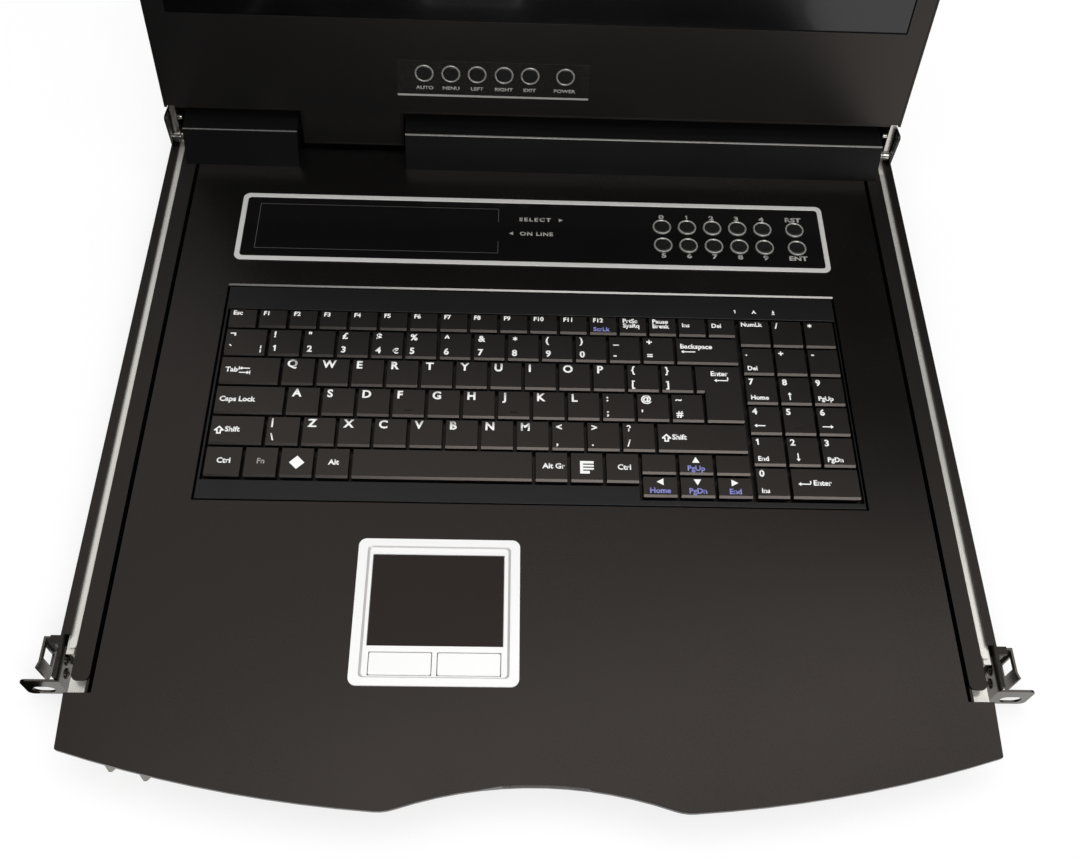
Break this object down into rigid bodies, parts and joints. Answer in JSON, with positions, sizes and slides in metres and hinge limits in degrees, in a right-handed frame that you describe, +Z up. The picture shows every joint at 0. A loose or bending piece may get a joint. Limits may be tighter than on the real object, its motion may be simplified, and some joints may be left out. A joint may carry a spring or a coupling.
{
  "type": "rackmount LCD console drawer",
  "caption": "Sliding 1U rack drawer with a hinged display lid, keyboard, touch pad, switch panel, slotted rack ears and telescopic ball slides.",
  "frame": {"origin": "centre line of the unit, in the plane of the rack posts' front faces (rear face of the ears), on the underside of the tray", "axes": "+Z up, +Y towards the rear of the rack, +X to the right seen from the front"},
  "size_m": [0.4826, 0.5803, 0.3721],
  "materials": {
    "deck_paint": "fine-texture powder coat, charcoal brown",
    "black_steel": "black powder coat",
    "lid_paint": "satin black coat",
    "zinc_steel": "bright zinc plate",
    "ear_steel": "dark nickel plate",
    "key_plastic": "fine moulded texture",
    "frame_plastic": "moulded, matt",
    "silver_plastic": "satin silver coat",
    "pad_plastic": "touch film",
    "overlay_gloss": "gloss film",
    "button_chrome": "plated rim, black dish",
    "screen_glass": "dark display glass",
    "circuit_board": "solder mask"
  },
  "bodies": {
    "rack_frame": {"outer_rail_left": "black_steel", "outer_rail_right": "black_steel", "rack_ear_left": "ear_steel", "rack_ear_right": "ear_steel", "rear_brackets": "zinc_steel", "rail_screws": "ear_steel"},
    "latch_left": {"release_latch_left": "ear_steel"},
    "latch_right": {"release_latch_right": "ear_steel"},
    "mid_slides": {"mid_rail_left": "zinc_steel", "mid_rail_right": "zinc_steel"},
    "outer_cages": {"outer_ball_cages": "zinc_steel"},
    "inner_cages": {"inner_ball_cages": "zinc_steel"},
    "drawer": {"tray": "black_steel", "cover_plate": "deck_paint", "inner_rail_left": "zinc_steel", "inner_rail_right": "zinc_steel", "deck_screws": "zinc_steel", "port_sockets": "zinc_steel", "keyboard_frame": "frame_plastic", "keyboard_base": "black_steel", "touch_bezel": "silver_plastic", "touch_pad": "pad_plastic", "panel_frame": "silver_plastic", "panel_overlay": "overlay_gloss", "control_board": "circuit_board", "hinge_cover_left": "deck_paint", "hinge_cover_right": "deck_paint", "hinge_brackets": "zinc_steel"},
    "lid": {"lid_back": "black_steel", "lid_bezel": "lid_paint", "lcd_panel": "screen_glass", "menu_plate": "overlay_gloss", "display_board": "circuit_board", "hinge_arms": "zinc_steel", "hinge_pins": "zinc_steel"},
    "function_keys": {"function_keys": "key_plastic"},
    "typing_keys": {"typing_keys": "key_plastic"},
    "space_bar": {"space_bar": "key_plastic"},
    "cursor_keys": {"cursor_keys": "key_plastic"},
    "number_pad_keys": {"number_pad_keys": "key_plastic"},
    "touch_button_left": {"touch_button_left": "silver_plastic"},
    "touch_button_right": {"touch_button_right": "silver_plastic"},
    "panel_button_0": {"panel_button_0": "button_chrome"},
    "panel_button_1": {"panel_button_1": "button_chrome"},
    "panel_button_2": {"panel_button_2": "button_chrome"},
    "panel_button_3": {"panel_button_3": "button_chrome"},
    "panel_button_4": {"panel_button_4": "button_chrome"},
    "panel_button_reset": {"panel_button_reset": "button_chrome"},
    "panel_button_5": {"panel_button_5": "button_chrome"},
    "panel_button_6": {"panel_button_6": "button_chrome"},
    "panel_button_7": {"panel_button_7": "button_chrome"},
    "panel_button_8": {"panel_button_8": "button_chrome"},
    "panel_button_9": {"panel_button_9": "button_chrome"},
    "panel_button_enter": {"panel_button_enter": "button_chrome"},
    "menu_button_auto": {"menu_button_auto": "button_chrome"},
    "menu_button_menu": {"menu_button_menu": "button_chrome"},
    "menu_button_left": {"menu_button_left": "button_chrome"},
    "menu_button_right": {"menu_button_right": "button_chrome"},
    "menu_button_exit": {"menu_button_exit": "button_chrome"},
    "menu_button_power": {"menu_button_power": "button_chrome"}
  },
  "joints": [
    {"name": "drawer_slide", "type": "slide", "parent": "rack_frame", "child": "drawer", "axis": [0, -1, 0], "range_m": [0, 0.4]},
    {"name": "mid_slide", "type": "slide", "parent": "rack_frame", "child": "mid_slides", "axis": [0, -1, 0], "range_m": [0, 0.2]},
    {"name": "outer_cage_slide", "type": "slide", "parent": "rack_frame", "child": "outer_cages", "axis": [0, -1, 0], "range_m": [0, 0.1]},
    {"name": "inner_cage_slide", "type": "slide", "parent": "rack_frame", "child": "inner_cages", "axis": [0, -1, 0], "range_m": [0, 0.3]},
    {"name": "lid_hinge", "type": "hinge", "parent": "drawer", "child": "lid", "pos_m": [0, 0.3464, 0.027], "axis": [1, 0, 0], "range_deg": [-10, 100]},
    {"name": "latch_left_pivot", "type": "hinge", "parent": "rack_frame", "child": "latch_left", "pos_m": [-0.2276, 0.0185, 0.01275], "axis": [0, 0, 1], "range_deg": [0, 8], "stiffness_Nm_per_rad": 0.5, "springref_deg": -2.86},
    {"name": "latch_right_pivot", "type": "hinge", "parent": "rack_frame", "child": "latch_right", "pos_m": [0.2276, 0.0185, 0.01275], "axis": [0, 0, -1], "range_deg": [0, 8], "stiffness_Nm_per_rad": 0.5, "springref_deg": -2.86},
    {"name": "function_keys_press", "type": "slide", "parent": "drawer", "child": "function_keys", "axis": [0, 0, -1], "range_m": [0, 0.0022], "stiffness_N_per_m": 1500, "springref_m": -0.0005},
    {"name": "typing_keys_press", "type": "slide", "parent": "drawer", "child": "typing_keys", "axis": [0, 0, -1], "range_m": [0, 0.0022], "stiffness_N_per_m": 3000, "springref_m": -0.0006},
    {"name": "space_bar_press", "type": "slide", "parent": "drawer", "child": "space_bar", "axis": [0, 0, -1], "range_m": [0, 0.0022], "stiffness_N_per_m": 600, "springref_m": -0.0006},
    {"name": "cursor_keys_press", "type": "slide", "parent": "drawer", "child": "cursor_keys", "axis": [0, 0, -1], "range_m": [0, 0.0022], "stiffness_N_per_m": 800, "springref_m": -0.0005},
    {"name": "number_pad_keys_press", "type": "slide", "parent": "drawer", "child": "number_pad_keys", "axis": [0, 0, -1], "range_m": [0, 0.0022], "stiffness_N_per_m": 1500, "springref_m": -0.0005},
    {"name": "touch_button_left_press", "type": "slide", "parent": "drawer", "child": "touch_button_left", "axis": [0, 0, -1], "range_m": [0, 0.0007], "stiffness_N_per_m": 900, "springref_m": -0.0004},
    {"name": "touch_button_right_press", "type": "slide", "parent": "drawer", "child": "touch_button_right", "axis": [0, 0, -1], "range_m": [0, 0.0007], "stiffness_N_per_m": 900, "springref_m": -0.0004},
    {"name": "panel_button_0_press", "type": "slide", "parent": "drawer", "child": "panel_button_0", "axis": [0, 0, -1], "range_m": [0, 0.0006], "stiffness_N_per_m": 900, "springref_m": -0.0004},
    {"name": "panel_button_1_press", "type": "slide", "parent": "drawer", "child": "panel_button_1", "axis": [0, 0, -1], "range_m": [0, 0.0006], "stiffness_N_per_m": 900, "springref_m": -0.0004},
    {"name": "panel_button_2_press", "type": "slide", "parent": "drawer", "child": "panel_button_2", "axis": [0, 0, -1], "range_m": [0, 0.0006], "stiffness_N_per_m": 900, "springref_m": -0.0004},
    {"name": "panel_button_3_press", "type": "slide", "parent": "drawer", "child": "panel_button_3", "axis": [0, 0, -1], "range_m": [0, 0.0006], "stiffness_N_per_m": 900, "springref_m": -0.0004},
    {"name": "panel_button_4_press", "type": "slide", "parent": "drawer", "child": "panel_button_4", "axis": [0, 0, -1], "range_m": [0, 0.0006], "stiffness_N_per_m": 900, "springref_m": -0.0004},
    {"name": "panel_button_reset_press", "type": "slide", "parent": "drawer", "child": "panel_button_reset", "axis": [0, 0, -1], "range_m": [0, 0.0006], "stiffness_N_per_m": 900, "springref_m": -0.0004},
    {"name": "panel_button_5_press", "type": "slide", "parent": "drawer", "child": "panel_button_5", "axis": [0, 0, -1], "range_m": [0, 0.0006], "stiffness_N_per_m": 900, "springref_m": -0.0004},
    {"name": "panel_button_6_press", "type": "slide", "parent": "drawer", "child": "panel_button_6", "axis": [0, 0, -1], "range_m": [0, 0.0006], "stiffness_N_per_m": 900, "springref_m": -0.0004},
    {"name": "panel_button_7_press", "type": "slide", "parent": "drawer", "child": "panel_button_7", "axis": [0, 0, -1], "range_m": [0, 0.0006], "stiffness_N_per_m": 900, "springref_m": -0.0004},
    {"name": "panel_button_8_press", "type": "slide", "parent": "drawer", "child": "panel_button_8", "axis": [0, 0, -1], "range_m": [0, 0.0006], "stiffness_N_per_m": 900, "springref_m": -0.0004},
    {"name": "panel_button_9_press", "type": "slide", "parent": "drawer", "child": "panel_button_9", "axis": [0, 0, -1], "range_m": [0, 0.0006], "stiffness_N_per_m": 900, "springref_m": -0.0004},
    {"name": "panel_button_enter_press", "type": "slide", "parent": "drawer", "child": "panel_button_enter", "axis": [0, 0, -1], "range_m": [0, 0.0006], "stiffness_N_per_m": 900, "springref_m": -0.0004},
    {"name": "menu_button_auto_press", "type": "slide", "parent": "lid", "child": "menu_button_auto", "axis": [0, 0.9848, -0.1736], "range_m": [0, 0.0006], "stiffness_N_per_m": 900, "springref_m": -0.0004},
    {"name": "menu_button_menu_press", "type": "slide", "parent": "lid", "child": "menu_button_menu", "axis": [0, 0.9848, -0.1736], "range_m": [0, 0.0006], "stiffness_N_per_m": 900, "springref_m": -0.0004},
    {"name": "menu_button_left_press", "type": "slide", "parent": "lid", "child": "menu_button_left", "axis": [0, 0.9848, -0.1736], "range_m": [0, 0.0006], "stiffness_N_per_m": 900, "springref_m": -0.0004},
    {"name": "menu_button_right_press", "type": "slide", "parent": "lid", "child": "menu_button_right", "axis": [0, 0.9848, -0.1736], "range_m": [0, 0.0006], "stiffness_N_per_m": 900, "springref_m": -0.0004},
    {"name": "menu_button_exit_press", "type": "slide", "parent": "lid", "child": "menu_button_exit", "axis": [0, 0.9848, -0.1736], "range_m": [0, 0.0006], "stiffness_N_per_m": 900, "springref_m": -0.0004},
    {"name": "menu_button_power_press", "type": "slide", "parent": "lid", "child": "menu_button_power", "axis": [0, 0.9848, -0.1736], "range_m": [0, 0.0006], "stiffness_N_per_m": 900, "springref_m": -0.0004}
  ],
  "couplings": [
    {"joint": "mid_slide", "follows": "drawer_slide", "ratio": 0.5},
    {"joint": "outer_cage_slide", "follows": "drawer_slide", "ratio": 0.25},
    {"joint": "inner_cage_slide", "follows": "drawer_slide", "ratio": 0.75}
  ]
}
